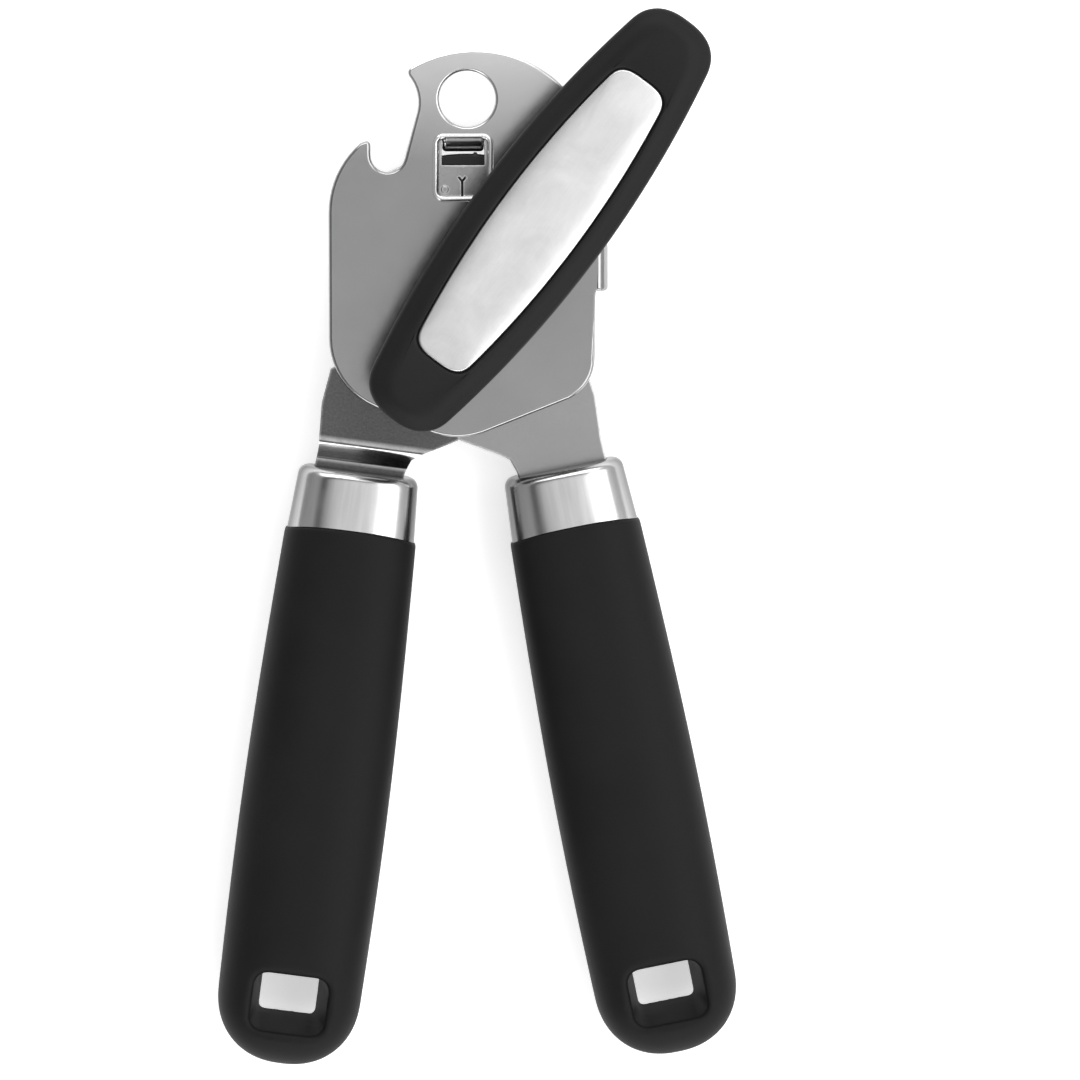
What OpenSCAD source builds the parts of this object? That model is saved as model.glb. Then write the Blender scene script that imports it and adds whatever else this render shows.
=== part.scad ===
// Manual can opener with two soft grips, a long turning knob and a cap lifter in its head.
// The opener lies on its back. +X is to the right, +Y runs from the grips to the head, and
// +Z points up, out of the front plate. The origin is the centre of the head's hanging hole,
// at the back face of the front plate. Sizes are in millimetres and angles in degrees.

/* [Head plate] */
// Thickness of the front plate
plate_t = 1.6; // [1.2:0.1:2.2]
// Radius of the hanging hole
hang_r = 5.5; // [4:0.5:7]
// Radius of the plate's round top
head_r = 25.2; // [24:0.2:28]
// Length of the plate below the hanging hole
plate_len = 67.4; // [64:0.2:81]
// Width of the window
window_w = 10.1; // [8:0.1:12]
// Height of the window
window_h = 11.6; // [9.8:0.1:12.4]
// Length of the side flange that bears on the can
flange_len = 9.6; // [6:0.2:14]
// Depth of the side flange behind the plate
flange_depth = 7; // [4:0.5:9]

/* [Arms] */
// Thickness of each arm
arm_t = 2; // [1.6:0.1:2.6]
// Width of an arm where it enters its ferrule
neck_w = 17.9; // [14:0.1:19]
// Turn of the left handle away from straight down
left_angle = -7.7; // [-14:0.1:-4]
// Turn of the right handle away from straight down
right_angle = 11.2; // [6:0.1:16]
// Width of the tang inside a grip
tang_w = 12; // [8:0.5:14]
// Length of the tang below the ferrule's top
tang_len = 78; // [50:1:84]
// Sideways distance of the pivot from the hanging hole
pivot_x = 0; // [-1:0.5:2]
// Distance of the pivot below the hanging hole
pivot_down = 47.6; // [46:0.2:50]
// Radius of the pivot rivet
pivot_r = 4; // [3:0.1:5]

/* [Grips] */
// Length of a grip below its ferrule
grip_len = 108; // [96:1:130]
// Width of a grip at its ferrule
grip_top_w = 26.4; // [25.4:0.2:28]
// Greatest width of a grip
grip_w = 29.6; // [28:0.2:35]
// Thickness of a grip at its ferrule
grip_top_t = 19; // [16:0.5:20]
// Greatest thickness of a grip
grip_t = 22; // [20:0.5:26]
// Wall of the soft skin
skin_t = 2; // [1:0.1:3]
// Height of a ferrule
ferrule_h = 12.8; // [9:0.2:15]
// Wall of a ferrule
ferrule_wall = 1; // [0.6:0.1:1.6]
// Width of the hole in a grip's end, at the back
end_hole_w = 11.4; // [8:0.2:13]
// How much the hole widens on each side towards the front
end_hole_flare = 2.6; // [0.5:0.1:3]
// Distance from a grip's end to the middle of its hole
end_hole_in = 13.4; // [12.4:0.2:18]

/* [Knob] */
// Length of the knob
knob_len = 97.2; // [80:0.4:116]
// Width of the knob at its middle
knob_w = 26.8; // [24:0.2:34]
// Width of the knob near its ends
knob_end_w = 18.6; // [16:0.2:23]
// Thickness of the knob
knob_t = 14; // [10:0.5:18]
// Turn of the knob's long axis from +X
knob_angle = 53.2; // [0:0.2:90]
// Length of the inlay
inlay_len = 68.6; // [50:0.2:78]
// Width of the inlay at its middle
inlay_w = 17.2; // [14:0.2:20]
// Width of the inlay near its ends
inlay_end_w = 12.8; // [9:0.2:14]
// Thickness of the inlay
inlay_t = 1.2; // [0.8:0.1:2]
// Radius of the drive shaft
shaft_r = 3; // [2.4:0.1:3.6]

/* [Cutting parts] */
// Sideways distance of the drive shaft from the hanging hole
drive_x = 13.7; // [13:0.1:15]
// Distance of the drive shaft below the hanging hole
drive_down = 23.3; // [22.5:0.1:24.5]
// Outer radius of the toothed feed wheel
feed_r = 8.5; // [8:0.1:9]
// Thickness of the feed wheel
feed_t = 4.5; // [3.5:0.1:5.4]
// Number of feed wheel teeth
feed_teeth = 22; // [16:1:28]
// Radius of the cutting disc
disc_r = 8.6; // [8:0.1:9.2]
// Thickness of the cutting disc
disc_t = 1.2; // [0.8:0.1:1.6]
// Distance between the wheels' axes when the handles are closed
wheel_distance = 14.8; // [14.4:0.1:15.6]
// How far the right handle closes from the drawn pose
close_angle = 17; // [10:1:18]
// How far the right handle opens from the drawn pose
open_angle = 14; // [8:1:16]

/* [Clearances] */
// Radial clearance of a part that turns on another
turn_gap = 0.05; // [0.02:0.01:0.1]
// Face clearance of a part that turns beside another
face_gap = 0.1; // [0.05:0.01:0.2]
// Gap between a part and another that swings past it
swing_gap = 0.5; // [0.3:0.1:0.8]
// Line of shadow round the inlay
inlay_gap = 0.25; // [0.1:0.05:0.5]

/* [Hidden] */
$fn = 64;

// Axes in the plane of the plate
PIVOT = [pivot_x, -pivot_down];
DRIVE = [drive_x, -drive_down];
drive_radius = norm(DRIVE - PIVOT);
drive_bearing = atan2(DRIVE.y - PIVOT.y, DRIVE.x - PIVOT.x);
cutter_radius = 24;
// Angle at the pivot between the two wheel axes when the handles are closed
closed_spread = acos((drive_radius ^ 2 + cutter_radius ^ 2 - wheel_distance ^ 2)
    / (2 * drive_radius * cutter_radius));
cutter_bearing = drive_bearing + closed_spread + close_angle;
CUTTER = PIVOT + cutter_radius * [cos(cutter_bearing), sin(cutter_bearing)];

// Heights of the stacked parts, from front to back
pivot_washer_t = 0.2;
arm_gap = pivot_washer_t + turn_gap;
cutter_arm_top = -arm_t - arm_gap;
cutter_arm_back = cutter_arm_top - arm_t;
handle_z = (cutter_arm_top + cutter_arm_back) / 2;
floor_z = handle_z - grip_t / 2;
feed_top = cutter_arm_back - swing_gap;
feed_back = feed_top - feed_t;
disc_top = feed_back - swing_gap;
disc_back = disc_top - disc_t;

// Rivets, bushes and washers
rivet_head_r = pivot_r + 2.5;
rivet_head_t = 1.2;
pivot_back_washer_t = 0.5;
bush_r = shaft_r + 2;
bush_flange_r = bush_r + 2;
bush_flange_t = 0.6;
hub_r = shaft_r + 1;
feed_washer_r = shaft_r + 2.1;
feed_washer_t = 0.8;
nut_r = shaft_r + 2.2;
tooth_h = 0.9;
// Radii of the round pads of the arms about the pivot, the drive bush and the cutter stud
pivot_pad_r = 10;
bush_pad_r = bush_r + 4;
stud_pad_r = 8;
stud_r = 2;
seat_r = 3.5;
shoulder_r = 4.6;
cutter_washer_t = 0.5;
stud_head_r = 4.4;
stud_head_t = 1.1;

// Knob
knob_washer_t = 0.8;
neck_bottom = plate_t + bush_flange_t + knob_washer_t + 2 * face_gap;
knob_bottom = neck_bottom + 5;
knob_top = knob_bottom + knob_t;
knob_core_r = shaft_r + 3;
knob_core_top = knob_bottom + knob_t - inlay_t - 3;
shaft_top = knob_core_top - 2;
knob_pin_r = 1;
knob_pin_z = knob_bottom + 2.6;
knob_neck_r = knob_core_r + 3;
// Lengths of the round ends of the knob and its inlay, and how square they are
knob_round = 6.6;
inlay_round = 4.6;
knob_power = 2.6;
inlay_power = 3.4;

// Plate
plate_left = -27.6;
plate_right = 25.4;
window_x = -0.8;
window_top = -7.8;
window_corner = 1.2;
tab_w = window_w - 1.8;
tab_t = 1.4;
tab_y = window_top - 2.7;
flange_y = -38.3;
flange_reach = 2.7;

// Top edge of the drive arm, seen through the window, and the slit below it
arm_window_y = window_top - 5.4;
slit_w = 0.34;
slit_len = 7.5;
slit_down = 10.7;
slit_fork = 1.1;
// Gap between the tab and the drive arm's two horns beside it
tab_gap = 0.1;
horn_w = 3.4;
// Small round boss pressed out of the drive arm, in the window's lower left corner
boss_r = 0.7;
boss_h = 0.5;
boss_at = [window_x - window_w / 2 + 1.4, window_top - window_h + 1.4];

// Cutter arm, as rings about the pivot: its finger reaches over the drive hub and ends in an ear
ear_h = 2.9;
web_bearing = 116;
arm_top_r = tab_y + pivot_down - swing_gap;
ear_r = arm_top_r + ear_h;
finger_w = arm_top_r - drive_radius - hub_r - swing_gap;
tab_right = window_x + tab_w / 2;
tab_bearing = atan2(tab_y + pivot_down, tab_right - pivot_x);
ear_bearing = tab_bearing - open_angle - 0.4;
ear_span = 5;
stop_bearing = drive_bearing + close_angle + (hub_r + swing_gap) * 180 / PI / drive_radius;

// Handles: the middle of each ferrule's top edge
LEFT_TOP = [-21.6, -plate_len - 7];
RIGHT_TOP = [19.1, -plate_len - 6.4];
joggle_start = 1.5;
joggle_slope = 35;
ferrule_bottom_w = grip_top_w - 0.8;
ferrule_bottom_t = grip_top_t - 0.8;
ferrule_taper = 1.4;
shoulder_in = 1.8;
shoulder_h = 2;
section_power = 2.6;
section_sides = 32;
end_round = 14;
widest_at = 62;
end_hole_h = 8.4;
core_end = grip_len - end_hole_in - end_hole_h / 2 - end_hole_flare - 2.6;
pin_r = 2;
pin_places = [0.34, 0.8];

// Points of an arc about c from angle a0 to angle a1
function arc(c, r, a0, a1, n = 10) =
    [for (i = [0:n]) let (a = a0 + (a1 - a0) * i / n) c + r * [cos(a), sin(a)]];

// Signed power, for rounded sections
function spow(v, p) = sign(v) * abs(v) ^ p;

// A point of a handle's own frame, whose origin is its ferrule's top and whose -Y is its axis
function from_handle(top, angle, p) =
    top + [p.x * cos(angle) - p.y * sin(angle), p.x * sin(angle) + p.y * cos(angle)];

module at_left() translate(LEFT_TOP) rotate(left_angle) children();
module at_right() translate(RIGHT_TOP) rotate(right_angle) children();

// Joins flat shapes into one plate of thickness h, each as its own solid
module slab(h) for (i = [0:$children - 1]) linear_extrude(h) children(i);

// Ring sector about the pivot
module pivot_sector(r0, r1, a0, a1)
    translate(PIVOT) polygon(concat(arc([0, 0], r1, a0, a1), arc([0, 0], r0, a1, a0)));

// Solid through rings of points that all have the same number of points
module loft(rings) {
    n = len(rings[0]);
    last = len(rings) - 1;
    sides = [for (k = [0:last - 1], i = [0:n - 1])
        [k * n + i, (k + 1) * n + i, (k + 1) * n + (i + 1) % n, k * n + (i + 1) % n]];
    first_cap = [for (i = [0:n - 1]) i];
    last_cap = [for (i = [n - 1:-1:0]) last * n + i];
    polyhedron([for (ring = rings) for (p = ring) p], concat(sides, [first_cap, last_cap]));
}

// Rounded section of a handle at distance s below its ferrule's top
function section(s, w, t) = [for (i = [0:section_sides - 1]) let (a = 360 * i / section_sides)
    [w / 2 * spow(cos(a), 2 / section_power), -s, handle_z + t / 2 * spow(sin(a), 2 / section_power)]];

// ---- Front plate ----

// Outline of the plate, clockwise from the tooth of the cap lifter
function plate_outline() = concat(
    arc([1.5, -15.4], head_r, 122, 0, 24),
    [[plate_right, flange_y + flange_len + 1]],
    arc([plate_right - 9, -plate_len + 15.8], 9, 0, -64, 8),
    arc([-2, -plate_len + 15.4], 15.4, -64, -114, 8),
    arc([plate_left + 15, -plate_len + 19.9], 15, -114, -180, 10),
    arc([plate_left + 18.2, -22.5], 18.2, 180, 131, 10),
    arc([-20, -9.1], 0.8, 100, 0, 4),
    arc([-15.8, -11.1], 3.4, 180, 345, 12),
    arc([-17.9, -0.7], 8.1, -18, 42, 8)
);

module window_outline() {
    x = window_w / 2 - window_corner;
    y = window_h / 2 - window_corner;
    translate([window_x, window_top - window_h / 2])
        polygon(concat(arc([x, y], window_corner, 0, 90, 5), arc([-x, y], window_corner, 90, 180, 5),
            arc([-x, -y], window_corner, 180, 270, 5), arc([x, -y], window_corner, 270, 360, 5)));
}

// Tab bent back from the window's top edge: it stops the cutter arm when the handles open
module window_tab() {
    tab_back = cutter_arm_back - 0.4;
    bend_r = window_top - tab_y;
    bend = [window_top, plate_t - bend_r];
    translate([window_x, 0, 0]) rotate([90, 0, 90]) linear_extrude(tab_w, center = true)
        polygon(concat([[window_top + 0.2, plate_t - tab_t], [window_top + 0.2, plate_t]],
            arc(bend, bend_r, 90, 180, 8), [[tab_y, tab_back], [tab_y + tab_t, tab_back]],
            arc(bend, bend_r - tab_t, 180, 90, 8)));
}

// Flange bent back from the plate's right edge: it bears on the side of the can
module side_flange() {
    bend_r = flange_reach;
    translate([plate_right, flange_y, plate_t - bend_r]) rotate([-90, 0, 0]) linear_extrude(flange_len)
        polygon(concat(arc([0, 0], bend_r, -90, 0, 6), arc([0, 0], bend_r - plate_t, 0, -90, 6)));
    translate([plate_right + bend_r - plate_t, flange_y, plate_t - bend_r - flange_depth])
        cube([plate_t, flange_len, flange_depth]);
    translate([plate_right - 2, flange_y, 0]) cube([2, flange_len, plate_t]);
}

module front_plate() color("silver") {
    difference() {
        linear_extrude(plate_t) difference() {
            polygon(plate_outline());
            window_outline();
        }
        translate([0, 0, -1]) cylinder(r = hang_r, h = plate_t + 2);
        translate([PIVOT.x, PIVOT.y, -1]) cylinder(r = pivot_r, h = plate_t + 2);
        translate([DRIVE.x, DRIVE.y, -1]) cylinder(r = bush_r, h = plate_t + 2);
    }
    window_tab();
    side_flange();
}

// ---- Arms ----

// Edges of the neck and tang below the ferrule's top, in the handle's own frame
function tang_outline(side) = [[side * neck_w / 2, 0], [side * neck_w / 2, -2], [side * tang_w / 2, -5],
    [side * tang_w / 2, -tang_len + 2], [side * (tang_w / 2 - 2), -tang_len]];

// Outline of an arm from the crossing down to its tang; side is the side of the outer edge
module arm_outline(top, angle, side) {
    outer = [[side * (neck_w / 2 - 0.6), 19.8], [side * (neck_w / 2 + 0.3), 12.8],
        [side * (neck_w / 2 - 0.2), 3.8]];
    inner = [[-side * (neck_w / 2 + 0.3), 1.2], [-side * (neck_w / 2 + 1.1), 3.6],
        [-side * (neck_w / 2 + 3), 5]];
    below = concat(outer, tang_outline(side), [for (i = [4:-1:0]) tang_outline(-side)[i]], inner);
    above = [[-1.9, -plate_len - 0.7], PIVOT + [-side * 9.4, -3.4], PIVOT + [0, 9], PIVOT + [side * 13, 0]];
    polygon(concat([for (p = below) from_handle(top, angle, p)], above));
}

// Side profile of the left arm: it steps forward by one arm and washer between two round bends
module joggle_profile() {
    step = arm_t + arm_gap;
    bend_r = arm_t;
    inner = bend_r - arm_t / 2;
    outer = bend_r + arm_t / 2;
    ramp = (step - 2 * bend_r * (1 - cos(joggle_slope))) / sin(joggle_slope);
    low = [joggle_start, cutter_arm_back + arm_t / 2 + bend_r];
    high = low + [2 * bend_r * sin(joggle_slope) + ramp * cos(joggle_slope), step - 2 * bend_r];
    turn = joggle_slope;
    rotate([90, 0, 90]) linear_extrude(140, center = true)
        polygon(concat([[-tang_len - 1, cutter_arm_top]], arc(low, inner, -90, turn - 90, 5),
            arc(high, outer, 90 + turn, 90, 7), [[120, 0], [120, -arm_t]], arc(high, inner, 90, 90 + turn, 5),
            arc(low, outer, turn - 90, -90, 7), [[-tang_len - 1, cutter_arm_back]]));
}

module tang_pin_holes(r)
    for (f = pin_places) translate([0, -f * tang_len, handle_z - grip_t]) cylinder(r = r, h = 2 * grip_t);

// Horn of the drive arm that stands beside the window's tab
module horn(side) {
    x = side * (tab_w / 2 + tab_gap + horn_w / 2);
    low = arm_window_y - 3;
    translate([window_x + x - horn_w / 2, low]) square([horn_w, window_top + 0.7 - low]);
}

// Slit in the drive arm, forked at its top end
module arm_slit() translate([window_x - slit_w / 2, arm_window_y - slit_down + slit_len, cutter_arm_back]) {
    translate([-slit_w / 2, -slit_len, 0]) cube([slit_w, slit_len, 10]);
    for (side = [-1, 1]) rotate(side * 38) translate([-slit_w / 2, 0, 0]) cube([slit_w, slit_fork, 10]);
}

module drive_arm() color("silver") {
    difference() {
        intersection() {
            translate([0, 0, cutter_arm_back]) slab(-cutter_arm_back) {
                arm_outline(LEFT_TOP, left_angle, -1);
                translate(PIVOT) circle(pivot_pad_r);
                translate(DRIVE) circle(bush_pad_r);
                polygon(concat([PIVOT + [-9.5, 0]], arc([-6, arm_window_y - 3], 3, 180, 90, 5),
                    [DRIVE + [-4, -DRIVE.y + arm_window_y], DRIVE + [8, -4], PIVOT + [9, -4]]));
                horn(-1);
                horn(1);
            }
            at_left() joggle_profile();
        }
        arm_slit();
        translate([PIVOT.x, PIVOT.y, cutter_arm_back]) cylinder(r = pivot_r, h = 10);
        translate([DRIVE.x, DRIVE.y, cutter_arm_back]) cylinder(r = bush_r, h = 10);
        at_left() tang_pin_holes(pin_r);
    }
    translate([boss_at.x, boss_at.y, -0.5]) cylinder(r = boss_r, h = 0.5 + boss_h);
}

// Web between the pivot and the cutter stud
module cutter_web() {
    across = [-sin(cutter_bearing), cos(cutter_bearing)];
    pivot_side = (pivot_pad_r - 0.5) * across;
    stud_side = stud_pad_r * across;
    polygon([PIVOT + pivot_side, CUTTER + stud_side, CUTTER - stud_side, PIVOT - pivot_side]);
}

module cutter_arm() color("gainsboro") difference() {
    translate([0, 0, cutter_arm_back]) slab(arm_t) {
        arm_outline(RIGHT_TOP, right_angle, 1);
        translate(PIVOT) circle(pivot_pad_r);
        translate(CUTTER) circle(stud_pad_r);
        cutter_web();
        pivot_sector(cutter_radius, arm_top_r, stop_bearing, web_bearing);
        pivot_sector(arm_top_r - finger_w, arm_top_r, ear_bearing - ear_span, stop_bearing + 1);
        pivot_sector(arm_top_r - 1, ear_r, ear_bearing - ear_span, ear_bearing);
    }
    translate([PIVOT.x, PIVOT.y, cutter_arm_back - 1]) cylinder(r = pivot_r + turn_gap, h = arm_t + 2);
    translate([CUTTER.x, CUTTER.y, cutter_arm_back - 1]) cylinder(r = stud_r, h = arm_t + 2);
    at_right() tang_pin_holes(pin_r);
}

// ---- Pivot ----

module ring(r_out, r_in, h) difference() {
    cylinder(r = r_out, h = h);
    translate([0, 0, -1]) cylinder(r = r_in, h = h + 2);
}

module pivot_rivet() color("silver") translate([PIVOT.x, PIVOT.y, 0]) {
    back = cutter_arm_back - turn_gap - pivot_back_washer_t;
    translate([0, 0, back]) cylinder(r = pivot_r, h = plate_t - back);
    translate([0, 0, plate_t]) rotate_extrude()
        polygon([[0, 0], [rivet_head_r, 0], [rivet_head_r - 0.5, 0.8], [rivet_head_r - 2.5, rivet_head_t],
            [0, rivet_head_t + 0.2]]);
    translate([0, 0, back]) rotate_extrude()
        polygon([[0, 0], [rivet_head_r, 0], [rivet_head_r - 1, -rivet_head_t], [0, -rivet_head_t]]);
}

module pivot_washer() color("goldenrod")
    translate([PIVOT.x, PIVOT.y, -arm_t - pivot_washer_t]) ring(pivot_r + 4, pivot_r, pivot_washer_t);

module pivot_back_washer() color("silver")
    translate([PIVOT.x, PIVOT.y, cutter_arm_back - turn_gap - pivot_back_washer_t])
        ring(pivot_r + 3.5, pivot_r, pivot_back_washer_t);

// ---- Drive: bush, shaft, knob and feed wheel ----

module drive_bush() color("goldenrod") translate([DRIVE.x, DRIVE.y, 0]) {
    translate([0, 0, -arm_t]) ring(bush_r, shaft_r + turn_gap, arm_t + plate_t);
    translate([0, 0, plate_t]) ring(bush_flange_r, shaft_r + turn_gap, bush_flange_t);
}

// Places the cross pin that locks the knob to its shaft
module across_knob(z) translate([DRIVE.x, DRIVE.y, z]) rotate([0, 90, knob_angle + 90]) children();

module knob_pin() color("gray") across_knob(knob_pin_z)
    cylinder(r = knob_pin_r, h = 2 * knob_core_r - 0.4, center = true);

module knob_pin_hole() across_knob(knob_pin_z)
    cylinder(r = knob_pin_r, h = 2 * knob_core_r + 1, center = true);

module drive_shaft() color("silver") difference() {
    translate([DRIVE.x, DRIVE.y, floor_z + 0.4]) cylinder(r = shaft_r, h = shaft_top - floor_z - 0.4);
    knob_pin_hole();
}

module thrust_washer() color("goldenrod")
    translate([DRIVE.x, DRIVE.y, plate_t + bush_flange_t + face_gap])
        ring(bush_flange_r, shaft_r, knob_washer_t);

// Half width of a long lens at distance u from its middle, with round ends
function lens_half(u, length, w, end_w, round_len, power) = let (
    straight = length / 2 - round_len,
    half = w / 2 - (w - end_w) / 2 * (u / straight) ^ 2,
    over = min(1, max(0, abs(u) - straight) / round_len))
    half * (1 - over ^ power) ^ (1 / power);

// Outline of that lens, made smaller all round by inset
function lens(length, w, end_w, round_len, power, inset = 0) = let (
    l = length - 2 * inset,
    n = 26,
    us = [for (i = [0:n]) -l / 2 * cos(180 * i / n)],
    halves = [for (u = us) lens_half(u, l, w - 2 * inset, end_w - 2 * inset, round_len, power)])
    concat([for (i = [0:n]) [us[i], -halves[i]]], [for (i = [n - 1:-1:1]) [us[i], halves[i]]]);

module on_knob(z) translate([DRIVE.x, DRIVE.y, z]) rotate(knob_angle) children();

module knob_layer(z0, z1, inset)
    on_knob(z0) linear_extrude(z1 - z0)
        polygon(lens(knob_len, knob_w, knob_end_w, knob_round, knob_power, inset));

module knob_body() color("dimgray") difference() {
    union() {
        knob_layer(knob_bottom, knob_bottom + 1.5, 1.8);
        knob_layer(knob_bottom + 1.5, knob_top - 6, 0.6);
        knob_layer(knob_top - 6, knob_top - 2, 0);
        knob_layer(knob_top - 2, knob_top - 0.8, 1.2);
        knob_layer(knob_top - 0.8, knob_top, 3);
        translate([DRIVE.x, DRIVE.y, neck_bottom]) cylinder(r = knob_neck_r, h = 6);
    }
    on_knob(knob_top - inlay_t) linear_extrude(inlay_t + 1)
        polygon(lens(inlay_len, inlay_w, inlay_end_w, inlay_round, inlay_power, -inlay_gap));
    translate([DRIVE.x, DRIVE.y, neck_bottom - 1])
        cylinder(r = knob_core_r, h = knob_core_top - neck_bottom + 1);
}

module knob_core() color("silver") difference() {
    translate([DRIVE.x, DRIVE.y, neck_bottom]) cylinder(r = knob_core_r, h = knob_core_top - neck_bottom);
    translate([DRIVE.x, DRIVE.y, neck_bottom - 1]) cylinder(r = shaft_r, h = shaft_top - neck_bottom + 1);
    knob_pin_hole();
}

module knob_inlay() color("whitesmoke") on_knob(knob_top - inlay_t) linear_extrude(inlay_t)
    polygon(lens(inlay_len, inlay_w, inlay_end_w, inlay_round, inlay_power));

module feed_wheel() color("silver") translate([DRIVE.x, DRIVE.y, 0]) difference() {
    union() {
        translate([0, 0, feed_back]) linear_extrude(feed_t)
            polygon([for (i = [0:2 * feed_teeth - 1])
                let (a = 180 * i / feed_teeth, r = feed_r - tooth_h * (i % 2)) r * [cos(a), sin(a)]]);
        translate([0, 0, feed_back]) cylinder(r = hub_r, h = -arm_t - face_gap - feed_back);
    }
    translate([0, 0, feed_back - 1]) cylinder(r = shaft_r, h = 20);
}

module feed_washer() color("silver")
    translate([DRIVE.x, DRIVE.y, feed_back - feed_washer_t]) ring(feed_washer_r, shaft_r, feed_washer_t);

module feed_nut() color("silver") translate([DRIVE.x, DRIVE.y, floor_z]) difference() {
    cylinder(r = nut_r, h = feed_back - feed_washer_t - floor_z, $fn = 6);
    translate([0, 0, -1]) cylinder(r = shaft_r, h = 20);
}

// ---- Cutting disc and what carries it ----

module cutter_bush() color("silver") translate([CUTTER.x, CUTTER.y, 0]) difference() {
    union() {
        translate([0, 0, disc_top + face_gap])
            cylinder(r = shoulder_r, h = cutter_arm_back - disc_top - face_gap);
        translate([0, 0, disc_back - face_gap]) cylinder(r = seat_r, h = disc_t + 2 * face_gap);
    }
    translate([0, 0, disc_back - 1]) cylinder(r = stud_r, h = 20);
}

module cutting_disc() color("silver") translate([CUTTER.x, CUTTER.y, 0]) rotate_extrude()
    polygon([[seat_r + turn_gap, disc_back], [disc_r - 2.4, disc_back], [disc_r, disc_top - 0.15],
        [disc_r, disc_top], [seat_r + turn_gap, disc_top]]);

module cutter_washer() color("silver")
    translate([CUTTER.x, CUTTER.y, disc_back - face_gap - cutter_washer_t])
        ring(shoulder_r, stud_r, cutter_washer_t);

module cutter_stud() color("silver") translate([CUTTER.x, CUTTER.y, 0]) {
    head_top = disc_back - face_gap - cutter_washer_t;
    translate([0, 0, head_top]) cylinder(r = stud_r, h = cutter_arm_top - head_top);
    translate([0, 0, head_top]) rotate_extrude()
        polygon([[0, 0], [stud_head_r, 0], [stud_head_r - 0.7, -stud_head_t], [0, -stud_head_t]]);
}

// ---- Handles, each in its own frame ----

// Widths and thicknesses of a grip at distance s below its ferrule
function rise(s, from, to) = from + (to - from) * sin(90 * min(1, s / widest_at));
function fall(s) = 1 - 0.05 * (1 - cos(90 * max(0, s - widest_at) / (grip_len - widest_at)));
function end_factor(s) = (1 - (max(0, s - grip_len + end_round) / end_round) ^ 2.2) ^ (1 / 2.2);

// Grip sections, from the ferrule to the round end
function grip_rings(straight_steps = 8, round_steps = 7) = let (
    straight = grip_len - end_round,
    stations = concat([for (i = [0:straight_steps]) straight * i / straight_steps],
        [for (i = [1:round_steps]) straight + end_round * 0.995 * sin(90 * i / round_steps)]))
    [for (s = stations) section(ferrule_h + s, rise(s, grip_top_w, grip_w) * fall(s) * end_factor(s),
        rise(s, grip_top_t, grip_t) * fall(s) * end_factor(s))];

// Core sections stop short of the end hole, with a blunt end; start is where the first one lies
function core_rings(start = 0) = let (stations = [for (i = [0:8]) i == 0 ? start : core_end * i / 8])
    [for (s = stations) let (at = max(0, s))
        section(ferrule_h + s, rise(at, grip_top_w, grip_w) * fall(at) - 2 * skin_t,
            rise(at, grip_top_t, grip_t) * fall(at) - 2 * skin_t)];

// Ring of the hole in a grip's end, at height z; the hole is wider by grow on each side
function hole_ring(z, grow) = let (r = 1 + grow, x = end_hole_w / 2 + grow - r, y = end_hole_h / 2 + grow - r,
    middle = -ferrule_h - grip_len + end_hole_in)
    [for (p = concat(arc([x, y], r, 90, 0, 5), arc([x, -y], r, 0, -90, 5), arc([-x, -y], r, -90, -180, 5),
        arc([-x, y], r, 180, 90, 5))) [p.x, middle + p.y, z]];

// The hole tapers from the grip's front to its back; its straight mouths run clear of the grip
module end_hole() {
    front = handle_z + 0.46 * grip_t;
    back = handle_z - 0.46 * grip_t;
    loft([hole_ring(front + 4, end_hole_flare), hole_ring(front, end_hole_flare), hole_ring(back, 0),
        hole_ring(back - 4, 0)]);
}

module grip() difference() {
    loft(grip_rings());
    loft(core_rings(-1));
    end_hole();
}

// Slot that the neck and tang fill
module tang_slot() translate([0, 0, cutter_arm_back]) linear_extrude(arm_t)
    polygon(concat([[-neck_w / 2, 1], [neck_w / 2, 1]], tang_outline(1),
        [for (i = [4:-1:0]) tang_outline(-1)[i]]));

// Ferrule sections: a round shoulder at the top and a slight flare down to bottom
function ferrule_rings(inset, top, bottom) = let (w = ferrule_bottom_w - 2 * inset,
    t = ferrule_bottom_t - 2 * inset)
    [for (a = [0:22.5:90]) let (less = ferrule_taper + 2 * shoulder_in * (1 - sin(a)))
        section(top + shoulder_h * (1 - cos(a)), w - less, t - less),
        section(ferrule_h, w, t), if (bottom > ferrule_h) section(bottom, w, t)];

module ferrule() difference() {
    loft(ferrule_rings(0, 0, ferrule_h));
    loft(ferrule_rings(ferrule_wall, ferrule_wall, ferrule_h + 1));
    tang_slot();
}

module grip_core() difference() {
    union() {
        loft(core_rings());
        loft(ferrule_rings(ferrule_wall, ferrule_wall, ferrule_h));
    }
    tang_slot();
    tang_pin_holes(pin_r);
}

module tang_pins() intersection() {
    tang_pin_holes(pin_r);
    loft(core_rings());
}

module ferrule_left() color("white") at_left() ferrule();
module ferrule_right() color("white") at_right() ferrule();
module grip_core_left() color("slategray") at_left() grip_core();
module grip_core_right() color("slategray") at_right() grip_core();
module grip_left() color("#2b2b2b") at_left() grip();
module grip_right() color("#2b2b2b") at_right() grip();
module tang_pins_left() color("silver") at_left() tang_pins();
module tang_pins_right() color("silver") at_right() tang_pins();

front_plate();
drive_arm();
cutter_arm();
pivot_rivet();
pivot_washer();
pivot_back_washer();
drive_bush();
drive_shaft();
thrust_washer();
knob_body();
knob_core();
knob_inlay();
knob_pin();
feed_wheel();
feed_washer();
feed_nut();
cutter_bush();
cutter_stud();
cutter_washer();
cutting_disc();
ferrule_left();
ferrule_right();
grip_core_left();
grip_core_right();
grip_left();
grip_right();
tang_pins_left();
tang_pins_right();
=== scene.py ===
"""Looks of the manual can opener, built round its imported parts. Lengths are in metres."""

import math

import bmesh
import bpy
import numpy as np
from mathutils import Matrix, Vector


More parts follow.
